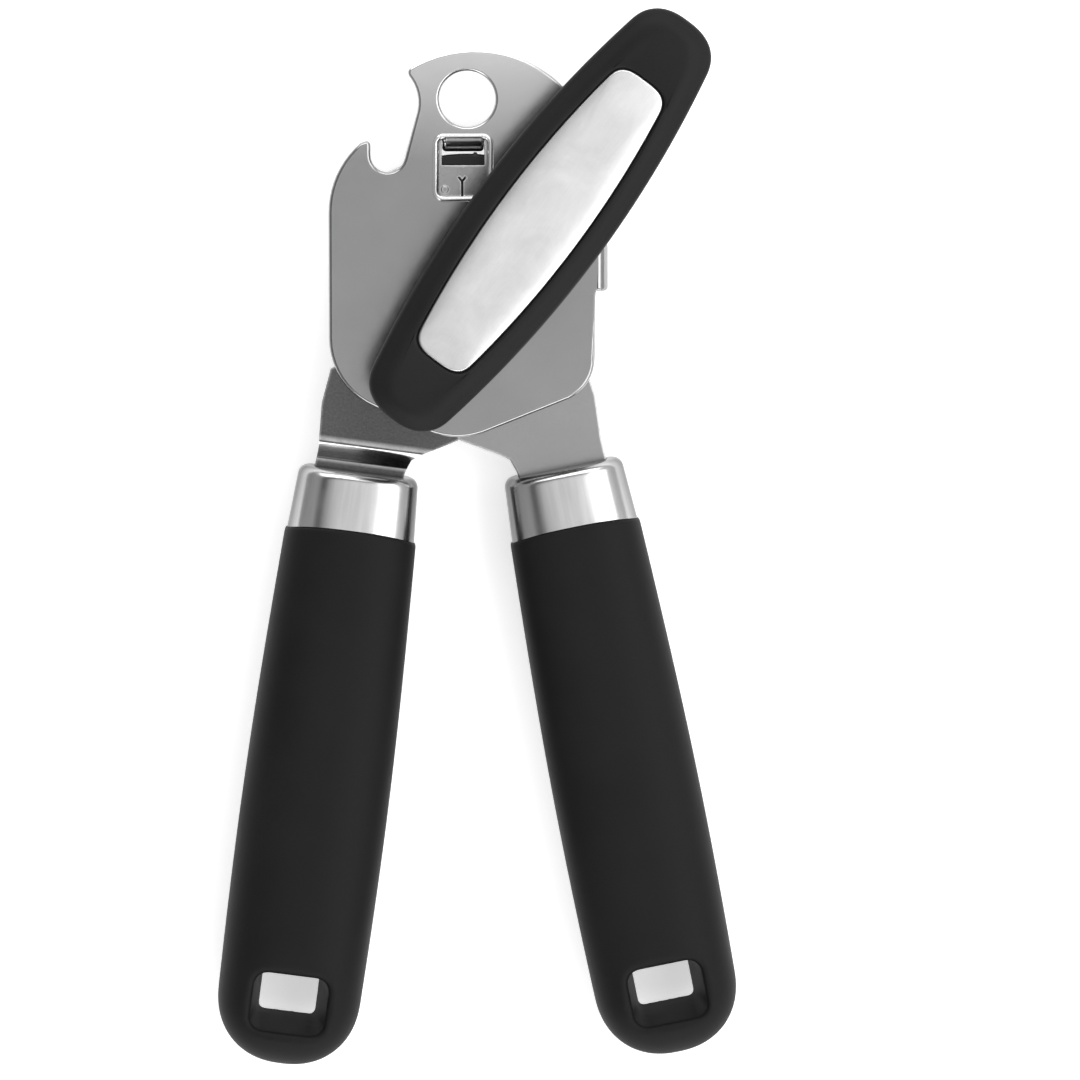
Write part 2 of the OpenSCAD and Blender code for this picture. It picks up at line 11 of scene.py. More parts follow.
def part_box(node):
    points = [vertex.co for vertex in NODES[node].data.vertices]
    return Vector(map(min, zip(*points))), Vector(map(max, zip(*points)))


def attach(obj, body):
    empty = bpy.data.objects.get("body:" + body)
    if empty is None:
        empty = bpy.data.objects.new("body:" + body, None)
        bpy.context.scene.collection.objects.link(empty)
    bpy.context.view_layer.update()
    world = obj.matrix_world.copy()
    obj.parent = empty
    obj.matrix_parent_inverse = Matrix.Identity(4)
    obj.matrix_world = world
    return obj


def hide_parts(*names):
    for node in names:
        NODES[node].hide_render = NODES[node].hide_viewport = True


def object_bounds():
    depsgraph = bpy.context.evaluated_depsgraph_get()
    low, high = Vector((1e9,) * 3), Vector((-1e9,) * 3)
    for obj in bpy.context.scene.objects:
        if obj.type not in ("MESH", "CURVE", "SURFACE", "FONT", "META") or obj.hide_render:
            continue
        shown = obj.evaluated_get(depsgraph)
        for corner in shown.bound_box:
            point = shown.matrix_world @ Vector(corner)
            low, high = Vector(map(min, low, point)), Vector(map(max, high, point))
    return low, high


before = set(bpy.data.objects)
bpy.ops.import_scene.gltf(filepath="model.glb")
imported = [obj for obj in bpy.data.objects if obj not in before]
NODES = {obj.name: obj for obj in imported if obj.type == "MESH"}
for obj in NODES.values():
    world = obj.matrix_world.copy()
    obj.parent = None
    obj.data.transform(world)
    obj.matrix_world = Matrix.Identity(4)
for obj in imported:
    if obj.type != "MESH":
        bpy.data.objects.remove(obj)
cad_box = [list(corner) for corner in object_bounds()]

MM = 0.001
SCENE = bpy.context.scene
LEFT, RIGHT, KNOB = "head_and_left_handle", "right_handle", "knob"

# ---- Camera, floor and light ----

CAMERA_AT = Vector((-0.0357, 0.0341, 1.27))
CAMERA_LOOKS_AT = Vector((0.0145, -0.0881, 0.0))
CAMERA_LENS = 212.8
LIGHTS_AIM = Vector((0.0, -0.09, 0.0))
# Name, place, two side lengths and power of each light
LIGHTS = (
    ("key", (0.83, -0.09, 1.15), 0.9, 1.8, 12),
    ("low", (-0.1, -1.45, 0.95), 1.8, 0.9, 11),
    ("high", (-0.1, 1.25, 0.95), 1.8, 0.9, 11),
)
# Brightness of the studio by the height of a direction: 0 is the horizon and 1 is straight up. A dark strip
# runs between two pale panels, and the upper one is brightest just short of straight up.
PANELS = ((0.72, 0.70), (0.78, 0.10), (0.87, 0.10), (0.92, 0.74), (0.99608, 0.98725), (1.0, 0.74))
# The studio's left side is darker: directions from this far left to this far right, and their brightness
SIDE_FROM, SIDE_TO = (-0.7, 0.1), (0.55, 1.0)
FLOOR_HALF = 3.0
FLOOR_GAP = 0.0002


def facing(place, target):
    """Matrix of a camera or light at place that looks at target, with +Y towards the top of its view."""
    back = (place - target).normalized()
    right = Vector((0, 1, 0)).cross(back).normalized()
    up = back.cross(right)
    return Matrix.Translation(place) @ Matrix((right, up, back)).transposed().to_4x4()


def make_camera():
    data = bpy.data.cameras.new("camera")
    data.lens = CAMERA_LENS
    data.sensor_width = 36
    data.clip_start, data.clip_end = 0.05, 20
    camera = bpy.data.objects.new("camera", data)
    SCENE.collection.objects.link(camera)
    camera.matrix_world = facing(CAMERA_AT, CAMERA_LOOKS_AT)
    SCENE.camera = camera


def make_world():
    world = bpy.data.worlds.new("studio")
    world.use_nodes = True
    tree = world.node_tree
    background = tree.nodes["Background"]
    coords = tree.nodes.new("ShaderNodeTexCoord")
    split = tree.nodes.new("ShaderNodeSeparateXYZ")
    tree.links.new(coords.outputs["Generated"], split.inputs[0])
    panels = tree.nodes.new("ShaderNodeValToRGB")
    tree.links.new(split.outputs["Z"], panels.inputs["Fac"])
    stops = panels.color_ramp.elements
    for at, _ in PANELS[1:-1]:
        stops.new(at)
    for stop, (at, shade) in zip(stops, PANELS):
        stop.position, stop.color = at, (shade, shade, shade, 1)
    side = tree.nodes.new("ShaderNodeMapRange")
    tree.links.new(split.outputs["X"], side.inputs["Value"])
    side.inputs["From Min"].default_value, side.inputs["From Max"].default_value = SIDE_FROM
    side.inputs["To Min"].default_value, side.inputs["To Max"].default_value = SIDE_TO
    both = tree.nodes.new("ShaderNodeVectorMath")
    both.operation = "SCALE"
    tree.links.new(panels.outputs["Color"], both.inputs[0])
    tree.links.new(side.outputs[0], both.inputs["Scale"])
    tree.links.new(both.outputs[0], background.inputs["Color"])
    background.inputs["Strength"].default_value = 1.0
    SCENE.world = world


def area_light(name, place, size_x, size_y, power):
    data = bpy.data.lights.new(name, "AREA")
    data.shape = "RECTANGLE"
    data.size, data.size_y, data.energy = size_x, size_y, power
    light = bpy.data.objects.new(name, data)
    SCENE.collection.objects.link(light)
    light.matrix_world = facing(Vector(place), LIGHTS_AIM)


def make_floor():
    """A wide pale floor, under the lowest part of the opener."""
    low = cad_box[0][2] - FLOOR_GAP
    corners = [(x * FLOOR_HALF, y * FLOOR_HALF, low) for x, y in ((-1, -1), (1, -1), (1, 1), (-1, 1))]
    mesh = bpy.data.meshes.new("floor")
    mesh.from_pydata(corners, [], [(0, 1, 2, 3)])
    floor = bpy.data.objects.new("floor", mesh)
    SCENE.collection.objects.link(floor)
    floor.data.materials.append(MATERIALS["floor"])


# ---- Materials ----


class Shader:
    """A material with one principled shader, and short calls for the nodes that feed it."""

    def __init__(self, name, **sockets):
        self.material = bpy.data.materials.new(name)
        self.material.use_nodes = True
        self.tree = self.material.node_tree
        self.tree.nodes.clear()
        output = self.tree.nodes.new("ShaderNodeOutputMaterial")
        self.bsdf = self.tree.nodes.new("ShaderNodeBsdfPrincipled")
        self.tree.links.new(self.bsdf.outputs[0], output.inputs[0])
        for socket, value in sockets.items():
            self.bsdf.inputs[socket.replace("_", " ")].default_value = value
        self.coords = self.node("ShaderNodeTexCoord").outputs["Object"]

    def node(self, kind, **inputs):
        made = self.tree.nodes.new(kind)
        for name, value in inputs.items():
            self.feed(made.inputs[name.replace("_", " ")], value)
        return made

    def feed(self, socket, value):
        if isinstance(value, bpy.types.NodeSocket):
            self.tree.links.new(value, socket)
        else:
            socket.default_value = value

    def stretched(self, lengths, turn):
        """Coordinates drawn out by lengths along axes that are turned about Z."""
        made = self.tree.nodes.new("ShaderNodeMapping")
        made.vector_type = "TEXTURE"
        self.feed(made.inputs["Vector"], self.coords)
        made.inputs["Scale"].default_value = lengths
        made.inputs["Rotation"].default_value = (0, 0, turn)
        return made.outputs[0]

    def noise(self, scale, detail=3.0, roughness=0.5, distortion=0.0, vector=None):
        made = self.node("ShaderNodeTexNoise", Vector=vector or self.coords, Scale=scale, Detail=detail,
                         Roughness=roughness, Distortion=distortion)
        return made.outputs["Fac"]

    def spread(self, value, low, high, start=0.3, end=0.7):
        made = self.node("ShaderNodeMapRange", Value=value, From_Min=start, From_Max=end,
                         To_Min=low, To_Max=high)
        return made.outputs[0]

    def math(self, operation, a, b):
        made = self.tree.nodes.new("ShaderNodeMath")
        made.operation = operation
        self.feed(made.inputs[0], a)
        self.feed(made.inputs[1], b)
        return made.outputs[0]

    def edges(self, radius):
        """Is 1 along sharp and rounded edges within this radius, and 0 on flat faces."""
        edge_at, flat_at = 0.86, 0.995
        bevel = self.node("ShaderNodeBevel", Radius=radius)
        bevel.samples = 4
        flat = self.node("ShaderNodeNewGeometry")
        dot = self.tree.nodes.new("ShaderNodeVectorMath")
        dot.operation = "DOT_PRODUCT"
        self.feed(dot.inputs[0], bevel.outputs[0])
        self.feed(dot.inputs[1], flat.outputs["Normal"])
        return self.spread(dot.outputs["Value"], 1.0, 0.0, edge_at, flat_at)

    def along(self, place):
        """Distance up a handle's axis from the frame place."""
        up = place.to_3x3() @ Vector((0, 1, 0))
        dot = self.tree.nodes.new("ShaderNodeVectorMath")
        dot.operation = "DOT_PRODUCT"
        self.feed(dot.inputs[0], self.coords)
        dot.inputs[1].default_value = up
        return self.math("SUBTRACT", dot.outputs["Value"], up.dot(place.translation))

    def bump(self, height, distance, strength, under=None):
        made = self.node("ShaderNodeBump", Height=height, Distance=distance, Strength=strength)
        if under is not None:
            self.feed(made.inputs["Normal"], under)
        return made.outputs[0]

    def finish(self, colour, roughness, normal):
        self.feed(self.bsdf.inputs["Base Color"], colour)
        self.feed(self.bsdf.inputs["Roughness"], roughness)
        self.feed(self.bsdf.inputs["Normal"], normal)
        return self.material


def stamped_steel(name, low, high, rough_low, rough_high, speckle, painted_sheen=(0.0, 0.0, 1.0), pocket_shade_below=0.0,
                  bend=None):
    """Satin stamped steel: cloudy tone, speckle, and worn edges that are polished and also painted lighter
    as a highlight. The painted sheen is how much lighter the steel is painted between two places up the
    head, a painted reflection. Painted shade darkens the pocket behind the window, below a given height.
    Where bend names a handle's frame, the step pressed into its arm is made less rough and painted lighter
    as a highlight."""
    worn_r, edge_highlight, worn_polish = 0.0007, 0.62, 0.08
    pocket_r, pocket_rim, shade_strength = 0.006, 0.0085, 0.9
    deep_from, deep_to = pocket_shade_below - 0.0003, pocket_shade_below + 0.0004
    die_soft, die_sharp, bend_highlight, die_polish = 0.0006, 0.0004, 0.55, 0.1
    s = Shader(name, Metallic=1.0)
    clouds = s.noise(42, 4, 0.55)
    mottle = s.noise(420, 3, 0.6)
    grain = s.noise(2400, 2, 0.5)
    tone = s.math("MULTIPLY", s.spread(clouds, low, high), s.spread(grain, 1 - speckle, 1 + speckle))
    split = s.node("ShaderNodeSeparateXYZ", Vector=s.coords)
    # Painted reflection: the steel is painted lighter between two heights up the head.
    lighter, sheen_from, sheen_to = painted_sheen
    top = s.spread(split.outputs["Y"], 0.0, lighter, sheen_from, sheen_to)
    # Edges are painted lighter as a highlight, broken up like wear, and polished smoother.
    worn_and_highlit = s.math("MULTIPLY", s.edges(worn_r), s.spread(s.noise(420), 0.4, 1.0))
    colour = s.math("ADD", s.math("ADD", tone, top), s.math("MULTIPLY", worn_and_highlit, edge_highlight))
    # Painted shade: the steel is painted darker in the pocket behind the window, below a given height.
    away = s.node("ShaderNodeVectorMath")
    away.operation = "DISTANCE"
    s.feed(away.inputs[0], s.coords)
    away.inputs[1].default_value = SHADED_POCKET
    near = s.spread(away.outputs["Value"], 1.0, 0.0, pocket_r, pocket_rim)
    deep = s.spread(split.outputs["Z"], 1.0, 0.0, deep_from, deep_to)
    unshaded = s.math("SUBTRACT", 1.0, s.math("MULTIPLY", s.math("MULTIPLY", near, deep), shade_strength))
    colour = s.math("MULTIPLY", colour, unshaded)
    roughness = s.math("SUBTRACT", s.spread(mottle, rough_low, rough_high),
                       s.math("MULTIPLY", worn_and_highlit, worn_polish))
    if bend is not None:
        # Painted highlight: the step's bend is painted lighter, and is also made less rough.
        along = s.along(bend)
        first, last = BEND
        polish_and_highlight = s.math("MULTIPLY", s.spread(along, 0.0, 1.0, first - die_soft, first + die_sharp),
                     s.spread(along, 1.0, 0.0, last - die_sharp, last + die_soft))
        polish_and_highlight = s.math("MULTIPLY", polish_and_highlight, s.spread(s.noise(500), 0.75, 1.0))
        colour = s.math("ADD", colour, s.math("MULTIPLY", polish_and_highlight, bend_highlight))
        roughness = s.math("SUBTRACT", roughness, s.math("MULTIPLY", polish_and_highlight, die_polish))
    waves = s.bump(mottle, 0.000004, 0.3, s.bump(clouds, 0.00008, 0.3))
    return s.finish(colour, roughness, s.bump(grain, 0.000006, 0.3 + 2 * speckle, waves))


def turned_metal(name, colour, rough_low, rough_high):
    """Turned or ground metal: a cloudy tone, small pits, and worn edges painted brighter as a highlight."""
    s = Shader(name, Metallic=1.0)
    grain = s.noise(1800, 3, 0.6)
    clouds = s.noise(260, 3, 0.55)
    # Edges are painted lighter as a highlight, broken up like wear.
    worn_and_highlit = s.math("MULTIPLY", s.edges(0.0004), s.spread(s.noise(900), 0.3, 1.0))
    shade = s.math("ADD", s.spread(clouds, 0.82, 1.04), s.math("MULTIPLY", worn_and_highlit, 0.2))
    tint = s.node("ShaderNodeVectorMath")
    tint.operation = "SCALE"
    tint.inputs[0].default_value = colour
    s.feed(tint.inputs["Scale"], shade)
    roughness = s.spread(grain, rough_low, rough_high)
    return s.finish(tint.outputs[0], roughness, s.bump(grain, 0.000015, 0.6, s.bump(clouds, 0.00003, 0.4)))


def chrome(name, turn):
    """Drawn and polished steel cap, with faint draw lines along its handle, painted darker low on its
    sides: a painted reflection of dark surroundings.
    """
    dark_reflection_below, bright_above = HANDLE_Z + 0.003, HANDLE_Z + 0.0075
    s = Shader(name, Metallic=1.0)
    lines = s.noise(900, 2, 0.5, vector=s.stretched((1.0, 30.0, 1.0), turn))
    clouds = s.noise(160, 3, 0.5)
    height = s.node("ShaderNodeSeparateXYZ", Vector=s.coords).outputs["Z"]
    # Painted reflection: the cap is painted darker low on its sides, where it would reflect dark
    # surroundings.
    painted_dark_sides = s.spread(height, 0.16, 1.0, dark_reflection_below, bright_above)
    colour = s.math("MULTIPLY", s.spread(lines, 0.60, 0.67), painted_dark_sides)
    roughness = s.spread(clouds, 0.2, 0.26)
    return s.finish(colour, roughness, s.bump(lines, 0.000005, 0.2, s.bump(clouds, 0.00005, 0.3)))


def satin_inlay(name, turn):
    """Satin aluminium with fine brush lines along the knob."""
    s = Shader(name, Metallic=1.0)
    lines = s.noise(3800, 2, 0.5, vector=s.stretched((14.0, 1.0, 1.0), turn))
    clouds = s.noise(95, 5, 0.65, 0.6)
    colour = s.math("MULTIPLY", s.spread(lines, 0.75, 0.78), s.spread(clouds, 0.90, 1.06))
    roughness = s.spread(lines, 0.28, 0.34)
    return s.finish(colour, roughness, s.bump(lines, 0.000002, 0.4, s.bump(clouds, 0.00006, 0.3)))


def soft_plastic(name, low, high, rough_low, rough_high, grain_scale, shine):
    """Moulded plastic or rubber: fine matte grain, faint clouds and slightly lighter rubbed edges."""
    s = Shader(name, Specular_IOR_Level=shine)
    grain = s.noise(grain_scale, 3, 0.6)
    clouds = s.noise(45, 3, 0.5)
    tone = s.math("MULTIPLY", s.spread(clouds, low, high), s.spread(grain, 0.93, 1.07))
    rubbed = s.math("MULTIPLY", s.edges(0.0012), s.spread(s.noise(300), 0.2, 1.0))
    colour = s.math("ADD", tone, s.math("MULTIPLY", rubbed, 0.006))
    return s.finish(colour, s.spread(clouds, rough_low, rough_high), s.bump(grain, 0.00003, 0.55))


def floor_paper(name):
    """Pale matte studio paper, lit a little from below as on a light table."""
    s = Shader(name, Specular_IOR_Level=0.1, Emission_Color=(1, 1, 1, 1), Emission_Strength=0.5)
    fibre = s.noise(500, 3, 0.6)
    return s.finish(s.spread(fibre, 0.90, 0.92), s.spread(fibre, 0.85, 0.95), s.bump(fibre, 0.00001, 0.3))


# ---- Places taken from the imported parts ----


def points_of(node):
    return np.array([v.co[:] for v in NODES[node].data.vertices])


def middle_of(points):
    return (points.min(0) + points.max(0)) / 2


TANG_LEN = 78.0
# How far down a tang its two pins are, as shares of its length
PIN_PLACES = (0.34, 0.8)


def handle_frame(side):
    """Matrix of a handle's own frame: its origin is the ferrule's top, and -Y is its axis."""
    flat = points_of("tang_pins_" + side)[:, :2]
    middle = middle_of(flat)
    upper = middle_of(flat[flat[:, 1] > middle[1]])
    lower = middle_of(flat[flat[:, 1] < middle[1]])
    down = (lower - upper) / np.linalg.norm(lower - upper)
    top = upper - down * PIN_PLACES[0] * TANG_LEN * MM
    angle = math.atan2(down[0], -down[1])
    height = middle_of(points_of("grip_" + side))[2]
    return Matrix.Translation((top[0], top[1], height)) @ Matrix.Rotation(angle, 4, "Z")


def knob_frame():
    """Matrix of the knob's own frame: its origin is the middle of its top, and X is its long axis."""
    points = points_of("knob_inlay")
    middle = middle_of(points_of("drive_shaft"))
    flat = points[:, :2] - middle[:2]
    _, vectors = np.linalg.eigh(flat.T @ flat)
    axis = vectors[:, 1] if vectors[1, 1] > 0 else -vectors[:, 1]
    angle = math.atan2(axis[1], axis[0])
    top = points[:, 2].max()
    return Matrix.Translation((middle[0], middle[1], top)) @ Matrix.Rotation(angle, 4, "Z")


def turn_of(place):
    return place.to_euler().z


# ---- Mesh tools ----


def quarter(steps):
    """Angles of a quarter turn, from 0 up, in even steps."""
    return [math.pi / 2 * i / steps for i in range(steps + 1)]


def rounded_corners(x, y, steps):
    """Centre and direction, step by step round a rectangle whose rounded corners are centred at x and y."""
    for cx, cy, start in ((x, y, 0), (-x, y, 90), (-x, -y, 180), (x, -y, 270)):
        for i in range(steps + 1):
            a = math.radians(start + 90 * i / steps)
            yield cx, cy, math.cos(a), math.sin(a)


def lofted(name, rings, place, closed=False):
    """A solid through rings, in millimetres in the frame of place. Its mesh is in the shared frame."""
    points, faces = loft(rings, closed)
    mesh = bpy.data.meshes.new(name)
    mesh.from_pydata([place @ (Vector(p) * MM) for p in points], [], faces)
    mesh.validate()
    tidy_normals(mesh)
    made = bpy.data.objects.new(name, mesh)
    SCENE.collection.objects.link(made)
    return made


def tidy_normals(mesh):
    work = bmesh.new()
    work.from_mesh(mesh)
    bmesh.ops.recalc_face_normals(work, faces=work.faces)
    work.to_mesh(mesh)
    work.free()


def loft(rings, closed):
    """Points and faces through rings that all have the same number of points. Where it is closed, the last
    ring joins the first, and otherwise both ends are capped."""
    n, count = len(rings[0]), len(rings)
    points = [p for ring in rings for p in ring]
    faces = []
    for k in range(count if closed else count - 1):
        this, other = k * n, (k + 1) % count * n
        faces += [(this + i, other + i, other + (i + 1) % n, this + (i + 1) % n) for i in range(n)]
    if not closed:
        last = (count - 1) * n
        faces += [tuple(range(n)), tuple(range(last + n - 1, last - 1, -1))]
    return points, faces


def combine(target, tool, operation):
    """Cuts tool from target, or joins it to target, and removes tool."""
    step = target.modifiers.new("combine", "BOOLEAN")
    step.operation, step.object, step.solver = operation, tool, "EXACT"
    bake(target)
    mesh = tool.data
    bpy.data.objects.remove(tool)
    bpy.data.meshes.remove(mesh)


def bake(made):
    """Applies the modifiers of an object."""
    bpy.context.view_layer.update()
    shape = made.evaluated_get(bpy.context.evaluated_depsgraph_get())
    mesh = bpy.data.meshes.new_from_object(shape)
    mesh.name = made.name
    made.modifiers.clear()
    old = made.data
    made.data = mesh
    bpy.data.meshes.remove(old)


def smooth(made, sharp_angle=None):
    """Smooth shading, with edges above sharp_angle degrees kept sharp."""
    mesh = made.data
    mesh.shade_smooth()
    if sharp_angle is not None:
        mesh.set_sharp_from_angle(angle=math.radians(sharp_angle))


def place_piece(made, body, node, material):
    made.data.materials.clear()
    made.data.materials.append(material)
    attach(made, body)
    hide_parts(node)


# ---- Handles ----

# How square a handle's section is, and how its edge rises towards its front and back
SECTION_POWER = 2.6
RISE_POWER = 1.5
FERRULE_H = 12.8
FERRULE_WALL = 1.0
FERRULE_W, FERRULE_T = 25.6, 18.2
FERRULE_TAPER = 1.4
SHOULDER_IN, SHOULDER_H = 1.8, 2.0
GRIP_LEN = 108.0
GRIP_TOP_W, GRIP_W = 26.4, 29.6
GRIP_TOP_T, GRIP_T = 19.0, 22.0
SKIN_T = 2.0
WIDEST_AT = 62.0
END_NARROWS = 0.05
END_ROUND = 14.0
END_POWER = 2.2
EDGE_RISE = 1.5
EDGE_FADE = 9.0
GRIP_LIP = 0.5
VOXEL = 0.4
HOLE_W, HOLE_H = 11.4, 8.4
HOLE_FLARE = 2.6
HOLE_IN = 13.4
# The neck of an arm where it enters the ferrule, and the gap round it
NECK_W = 17.9
ARM_T = 2.0
NECK_GAP = 0.12
SIDES = 112


def squared_off(v):
    return math.copysign(abs(v) ** (2 / SECTION_POWER), v)


def rise(s, low, high):
    return low + (high - low) * math.sin(math.pi / 2 * min(1.0, max(0.0, s) / WIDEST_AT))


def fall(s):
    below = max(0.0, s - WIDEST_AT) / (GRIP_LEN - WIDEST_AT)
    return 1 - END_NARROWS * (1 - math.cos(math.pi / 2 * below))


def end_factor(s):
    over = min(1.0, max(0.0, s - GRIP_LEN + END_ROUND) / END_ROUND)
    return (1 - over ** END_POWER) ** (1 / END_POWER)


def section(s, w, t, lift=0.0):
    """Rounded handle section at s below the ferrule's top; its front and back are raised by lift."""
    ring = []
    for i in range(SIDES):
        a = 2 * math.pi * i / SIDES
        ring.append((w / 2 * squared_off(math.cos(a)), -s + lift * abs(math.sin(a)) ** RISE_POWER,
                     t / 2 * squared_off(math.sin(a))))
    return ring


def grip_section(s, inset=0.0, lift=0.0):
    shape = fall(s) * end_factor(s)
    return section(FERRULE_H + s, rise(s, GRIP_TOP_W, GRIP_W) * shape - 2 * inset,
                   rise(s, GRIP_TOP_T, GRIP_T) * shape - 2 * inset, lift)


def surface_height(x, y):
    """Height of the grip's front face above its middle plane."""
    s = -y - FERRULE_H
    shape = fall(s) * end_factor(s)
    out = min(0.999, abs(2 * x / (rise(s, GRIP_TOP_W, GRIP_W) * shape)))
    return rise(s, GRIP_TOP_T, GRIP_T) * shape / 2 * (1 - out ** SECTION_POWER) ** (1 / SECTION_POWER)


def hole_ring(face, offset, grow):
    """Rounded outline of the hanging hole, wider by grow all round, at offset above the face."""
    corner = 1.0 + grow
    x, y = HOLE_W / 2 + grow - corner, HOLE_H / 2 + grow - corner
    middle = -FERRULE_H - GRIP_LEN + HOLE_IN
    ring = []
    for cx, cy, out_x, out_y in rounded_corners(x, y, 8):
        px, py = cx + corner * out_x, middle + cy + corner * out_y
        ring.append((px, py, face * (surface_height(px, py) + offset)))
    return ring


def hole_cutter(place):
    """The hole tapers from front to back, and both of its mouths are rounded."""
    mouth, back_mouth, flare, clear = 1.5, 0.8, 1.8, 4.0
    rings = [hole_ring(-1, clear, back_mouth)]
    rings += [hole_ring(-1, -back_mouth * (1 - math.cos(a)), back_mouth * (1 - math.sin(a)))
              for a in quarter(8)]
    rings += [hole_ring(1, -mouth * (1 - math.sin(a)), flare + mouth * (1 - math.cos(a)))
              for a in quarter(8)]
    rings.append(hole_ring(1, clear, flare + mouth))
    return lofted("cutter", rings, place)


def core_cutter(place):
    """What the grip's skin is wrapped round."""
    steps, hole_wall, above, below = 16, 2.6, 4, 0.1
    core_end = GRIP_LEN - HOLE_IN - HOLE_H / 2 - HOLE_FLARE - hole_wall
    inner_w, inner_t = FERRULE_W - 2 * FERRULE_WALL, FERRULE_T - 2 * FERRULE_WALL
    rings = [section(FERRULE_H - up, inner_w, inner_t) for up in (above, below)]
    rings += [grip_section(core_end * i / steps, SKIN_T) for i in range(steps + 1)]
    return lofted("cutter", rings, place)


def make_grip(side, body):
    place = handle_frame(side)
    body_steps, end_steps, nearly_all = 48, 20, 0.9995
    rings = [grip_section(GRIP_LIP * (1 - math.cos(a)), GRIP_LIP * (1 - math.sin(a)), EDGE_RISE)
             for a in quarter(4)]
    straight = GRIP_LEN - END_ROUND
    for i in range(1, body_steps + 1):
        s = GRIP_LIP + (straight - GRIP_LIP) * i / body_steps
        fade = max(0.0, 1 - s / EDGE_FADE) ** 2
        rings.append(grip_section(s, 0.0, EDGE_RISE * fade))
    rings += [grip_section(straight + END_ROUND * nearly_all * math.sin(a)) for a in quarter(end_steps)[1:]]
    made = lofted("soft_grip_" + side, rings, place)
    combine(made, hole_cutter(place), "DIFFERENCE")
    remesh = made.modifiers.new("even", "REMESH")
    remesh.mode, remesh.voxel_size = "VOXEL", VOXEL * MM
    bake(made)
    soften = made.modifiers.new("soften", "SMOOTH")
    soften.factor, soften.iterations = 0.5, 6
    bake(made)
    combine(made, core_cutter(place), "DIFFERENCE")
    smooth(made, 50)
    place_piece(made, body, "grip_" + side, MATERIALS["soft_grip"])


def ferrule_rings(inset):
    """Ferrule sections from its rounded shoulder to its lower edge, smaller all round by inset."""
    body_steps = 12
    w, t = FERRULE_W - 2 * inset, FERRULE_T - 2 * inset
    rings = []
    for a in quarter(8):
        depth = SHOULDER_H * (1 - math.cos(a))
        inward = 2 * SHOULDER_IN * (1 - math.sin(a))
        rings.append(section(inset + depth, w - FERRULE_TAPER - inward, t - FERRULE_TAPER - inward))
    body = FERRULE_H - SHOULDER_H - inset
    for i in range(1, body_steps + 1):
        share = i / body_steps
        taper = FERRULE_TAPER * (1 - share)
        rings.append(section(inset + SHOULDER_H + body * share, w - taper, t - taper,
                             EDGE_RISE * share ** 3))
    return rings


def make_ferrule(side, body):
    place = handle_frame(side)
    made = lofted("ferrule_cap_" + side, ferrule_rings(0.0), place)
    below = 2
    open_end = section(FERRULE_H + below, FERRULE_W - 2 * FERRULE_WALL, FERRULE_T - 2 * FERRULE_WALL)
    combine(made, lofted("cutter", ferrule_rings(FERRULE_WALL) + [open_end], place), "DIFFERENCE")
    x, z = NECK_W / 2 + NECK_GAP, ARM_T / 2 + NECK_GAP
    slot_from, slot_to = 2.0, -4.0
    slot = [[(cx, y, cz) for cx, cz in ((-x, -z), (x, -z), (x, z), (-x, z))] for y in (slot_from, slot_to)]
    combine(made, lofted("cutter", slot, place), "DIFFERENCE")
    smooth(made, 40)
    place_piece(made, body, "ferrule_" + side, MATERIALS["chrome_" + side])


# ---- Knob ----

# Length, width at the middle and near the ends, length of the round ends, and how square they are
KNOB_SHAPE = (97.2, 26.8, 18.6, 6.6, 2.6)
INLAY_SHAPE = (68.6, 17.2, 12.8, 4.6, 3.4)
KNOB_T = 14.0
INLAY_T = 1.2
INLAY_GAP = 0.25
CORE_R = 6.0
NECK_R = 9.0
LENS_STEPS = 96


def lens_half(u, length, w, end_w, round_len, power):
    straight = length / 2 - round_len
    half = w / 2 - (w - end_w) / 2 * (u / straight) ** 2
    over = min(1.0, max(0.0, abs(u) - straight) / round_len)
    return half * (1 - over ** power) ** (1 / power)


def circle(radius, z):
    angles = [2 * math.pi * i / 64 for i in range(64)]
    return [(radius * math.cos(a), radius * math.sin(a), z) for a in angles]


def lens(shape, inset, z):
    """Ring of points of a long lens with round ends, smaller all round by inset, at height z."""
    length, w, end_w, round_len, power = shape
    length, w, end_w = length - 2 * inset, w - 2 * inset, end_w - 2 * inset
    us = [-length / 2 * math.cos(math.pi * i / LENS_STEPS) for i in range(LENS_STEPS + 1)]
    low = [(u, -lens_half(u, length, w, end_w, round_len, power), z) for u in us]
    high = [(u, lens_half(u, length, w, end_w, round_len, power), z) for u in us[-2:0:-1]]
    return low + high


def knob_profile():
    """Inset and height above its underside, for the side of the knob from its base to its top."""
    base_r, draft, shoulder_r, crown_h, crown_in = 1.2, 0.8, 1.5, 1.2, 4.0
    crown_tilt = math.radians(70)
    profile = [(draft + base_r * (1 - math.sin(a)), base_r * (1 - math.cos(a))) for a in quarter(6)]
    side_top = KNOB_T - crown_h - shoulder_r
    sweep = [crown_tilt * i / 8 for i in range(9)]
    profile += [(shoulder_r * (1 - math.cos(a)), side_top + shoulder_r * math.sin(a)) for a in sweep]
    inset, height = profile[-1]
    rest = KNOB_T - height
    for i in range(1, 9):
        share = i / 8
        profile.append((inset + (crown_in - inset) * share, height + rest * (1 - (1 - share) ** 2)))
    return profile


